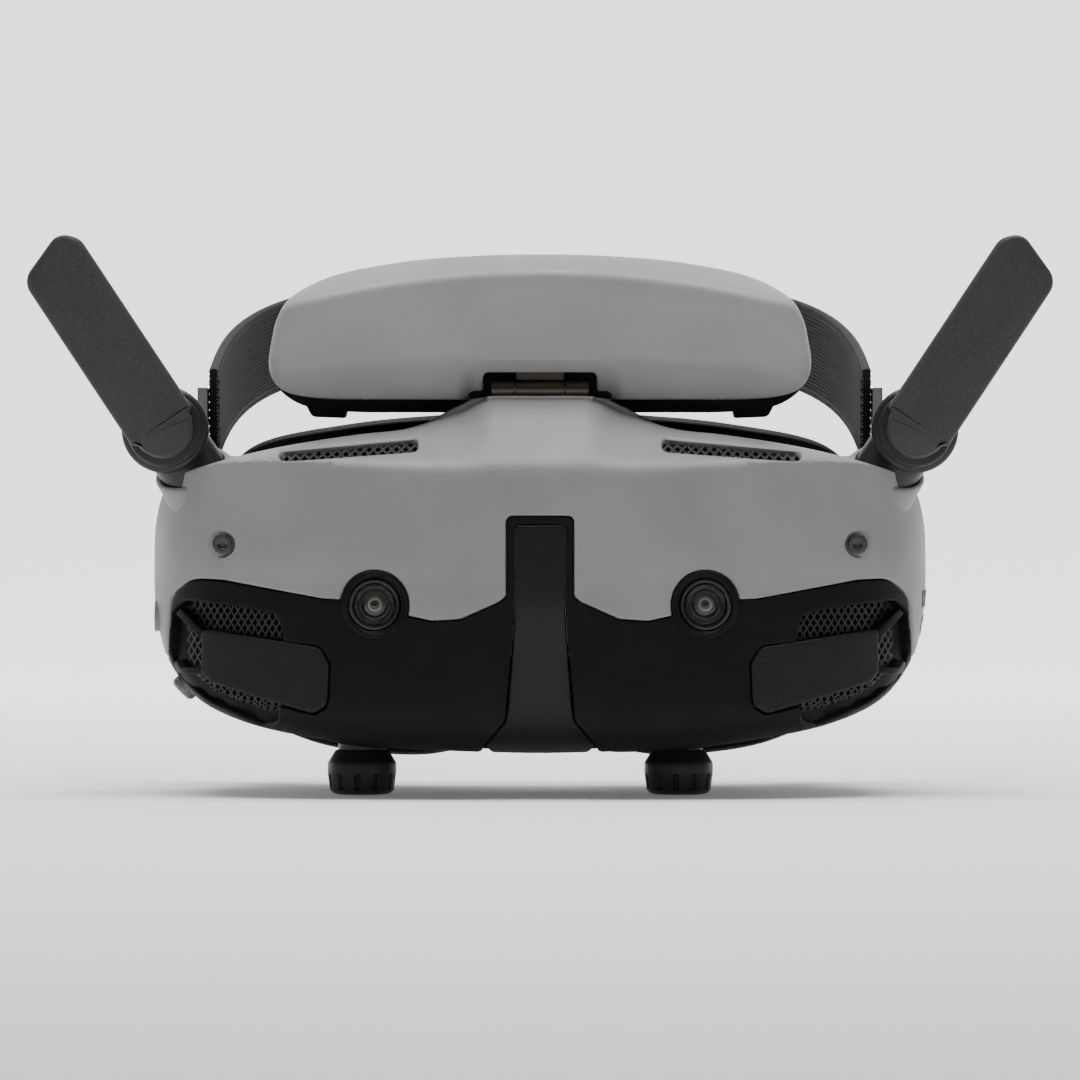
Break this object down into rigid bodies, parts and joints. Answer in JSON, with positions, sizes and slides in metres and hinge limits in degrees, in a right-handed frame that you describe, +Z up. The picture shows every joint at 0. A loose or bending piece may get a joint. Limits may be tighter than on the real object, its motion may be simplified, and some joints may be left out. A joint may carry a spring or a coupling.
{
  "type": "fpv goggles",
  "caption": "Head-worn video goggles with folding paddle antennas, a flip-up battery compartment, sliding eyepieces with focus knobs and an elastic head strap.",
  "frame": {"origin": "midway between the two eyepieces, at their rear faces, on the height of the optical axes", "axes": "+X to the wearer's left, +Y from the front towards the wearer's face, +Z up"},
  "size_m": [0.2364, 0.2525, 0.1314],
  "materials": {
    "grey_shell": "fine leathery texture",
    "black_cover": "fine speckled texture",
    "gloss_black": "satin",
    "black_plastic": "matte",
    "dark_plastic": "matte",
    "clear_glass": "coated",
    "accent": "coarse speckled texture",
    "black_steel": "black oxide",
    "rubber_black": "matte",
    "foam_fabric": "brushed fabric over foam",
    "circuit_board": "solder mask",
    "aluminium_fins": "brushed",
    "steel": "ground",
    "display_glass": "glossy",
    "knob_plastic": "satin",
    "antenna_plastic": "speckled texture",
    "hinge_metal": "dark bronze anodised",
    "pack_grey": "fine leathery texture",
    "cell_wrap": "shrink wrap",
    "button_grey": "matte",
    "strap_fabric": "ribbed elastic weave",
    "hook_grey": "matte"
  },
  "bodies": {
    "housing": {"front_housing": "grey_shell", "lower_cover": "black_cover", "centre_strip": "gloss_black", "camera_trims": "black_plastic", "camera_modules": "dark_plastic", "camera_windows": "clear_glass", "accent_plate_left": "accent", "accent_plate_right": "accent", "side_vent_mesh_left": "black_plastic", "side_vent_mesh_right": "black_plastic", "top_vent_meshes": "black_plastic", "front_screws": "black_steel", "rear_housing": "black_plastic", "eyepiece_plate": "black_plastic", "face_shield": "rubber_black", "face_foam": "foam_fabric", "main_board": "circuit_board", "heat_sink": "aluminium_fins", "fan_housing_left": "dark_plastic", "fan_housing_right": "dark_plastic", "guide_rods": "steel", "antenna_base_left": "antenna_plastic", "antenna_base_right": "antenna_plastic", "antenna_pin_left": "steel", "antenna_pin_right": "steel", "hinge_bracket": "hinge_metal", "hinge_pin": "hinge_metal", "head_strap": "strap_fabric", "strap_hooks": "hook_grey", "usb_socket": "steel", "card_slot": "steel"},
    "compartment": {"hinge_arm": "hinge_metal", "battery_front_shell": "pack_grey", "battery_rear_shell": "black_plastic", "battery_cells": "cell_wrap", "battery_board": "circuit_board", "forehead_pad": "foam_fabric"},
    "power_button": {"power_button": "dark_plastic"},
    "back_button": {"back_button": "button_grey"},
    "joystick_gimbal": {"joystick_gimbal": "dark_plastic"},
    "joystick_stem": {"joystick_stem": "dark_plastic"},
    "joystick_cap": {"joystick_cap": "button_grey"},
    "strap_buckle": {"strap_buckle": "black_plastic"},
    "fan_rotor_left": {"fan_rotor_left": "dark_plastic"},
    "eye_module_left": {"carriage_left": "dark_plastic", "display_left": "display_glass"},
    "focus_barrel_left": {"focus_barrel_left": "dark_plastic", "eyepiece_lens_left": "clear_glass"},
    "knob_stem_left": {"knob_stem_left": "dark_plastic"},
    "knob_left": {"knob_left": "knob_plastic"},
    "antenna_left": {"antenna_blade_left": "antenna_plastic"},
    "fan_rotor_right": {"fan_rotor_right": "dark_plastic"},
    "eye_module_right": {"carriage_right": "dark_plastic", "display_right": "display_glass"},
    "focus_barrel_right": {"focus_barrel_right": "dark_plastic", "eyepiece_lens_right": "clear_glass"},
    "knob_stem_right": {"knob_stem_right": "dark_plastic"},
    "knob_right": {"knob_right": "knob_plastic"},
    "antenna_right": {"antenna_blade_right": "antenna_plastic"}
  },
  "joints": [
    {"name": "antenna_fold_left", "type": "hinge", "parent": "housing", "child": "antenna_left", "pos_m": [0.087, -0.0442, 0.0404], "axis": [0, 1, 0], "range_deg": [0, 135]},
    {"name": "eye_spacing_left", "type": "slide", "parent": "housing", "child": "eye_module_left", "axis": [-1, 0, 0], "range_m": [0, 0.008]},
    {"name": "knob_press_left", "type": "slide", "parent": "eye_module_left", "child": "knob_stem_left", "axis": [0, 0, 1], "range_m": [0, 0.0012]},
    {"name": "knob_turn_left", "type": "hinge", "parent": "knob_stem_left", "child": "knob_left", "pos_m": [0.0324, -0.026, -0.038], "axis": [0, 0, 1], "range_deg": [-202.5, 67.5]},
    {"name": "focus_slide_left", "type": "slide", "parent": "eye_module_left", "child": "focus_barrel_left", "axis": [0, 1, 0], "range_m": [-0.0024, 0.0008]},
    {"name": "fan_spin_left", "type": "hinge", "parent": "housing", "child": "fan_rotor_left", "pos_m": [0.0647, -0.035, -0.0104], "axis": [0, 1, 0], "continuous": true},
    {"name": "antenna_fold_right", "type": "hinge", "parent": "housing", "child": "antenna_right", "pos_m": [-0.087, -0.0442, 0.0404], "axis": [0, -1, 0], "range_deg": [0, 135]},
    {"name": "eye_spacing_right", "type": "slide", "parent": "housing", "child": "eye_module_right", "axis": [1, 0, 0], "range_m": [0, 0.008]},
    {"name": "knob_press_right", "type": "slide", "parent": "eye_module_right", "child": "knob_stem_right", "axis": [0, 0, 1], "range_m": [0, 0.0012]},
    {"name": "knob_turn_right", "type": "hinge", "parent": "knob_stem_right", "child": "knob_right", "pos_m": [-0.0416, -0.026, -0.038], "axis": [0, 0, 1], "range_deg": [-202.5, 67.5]},
    {"name": "focus_slide_right", "type": "slide", "parent": "eye_module_right", "child": "focus_barrel_right", "axis": [0, 1, 0], "range_m": [-0.0024, 0.0008]},
    {"name": "fan_spin_right", "type": "hinge", "parent": "housing", "child": "fan_rotor_right", "pos_m": [-0.0647, -0.035, -0.0104], "axis": [0, 1, 0], "continuous": true},
    {"name": "battery_tilt", "type": "hinge", "parent": "housing", "child": "compartment", "pos_m": [0, -0.0345, 0.0498], "axis": [1, 0, 0], "range_deg": [0, 35]},
    {"name": "power_press", "type": "slide", "parent": "compartment", "child": "power_button", "axis": [-1, 0, 0], "range_m": [0, 0.0007], "stiffness_N_per_m": 400, "springref_m": -0.0005},
    {"name": "back_press", "type": "slide", "parent": "housing", "child": "back_button", "axis": [1, 0, 0], "range_m": [0, 0.0007], "stiffness_N_per_m": 400, "springref_m": -0.0005},
    {"name": "stick_tilt_fore_aft", "type": "hinge", "parent": "housing", "child": "joystick_gimbal", "pos_m": [-0.08053, -0.02, -0.01703], "axis": [-0.7071, 0, 0.7071], "range_deg": [-7, 7], "stiffness_Nm_per_rad": 0.02},
    {"name": "stick_tilt_up_down", "type": "hinge", "parent": "joystick_gimbal", "child": "joystick_stem", "pos_m": [-0.08053, -0.02, -0.01703], "axis": [0, 1, 0], "range_deg": [-7, 7], "stiffness_Nm_per_rad": 0.02},
    {"name": "stick_press", "type": "slide", "parent": "joystick_stem", "child": "joystick_cap", "axis": [0.7071, 0, 0.7071], "range_m": [0, 0.0005], "stiffness_N_per_m": 400, "springref_m": -0.0004},
    {"name": "strap_adjust", "type": "slide", "parent": "housing", "child": "strap_buckle", "axis": [1, 0, 0], "range_m": [-0.006, 0.006]}
  ],
  "couplings": [
    {"joint": "knob_turn_left", "follows": "focus_slide_left", "rad_per_m": 1472.6},
    {"joint": "knob_turn_right", "follows": "focus_slide_right", "rad_per_m": 1472.6}
  ]
}
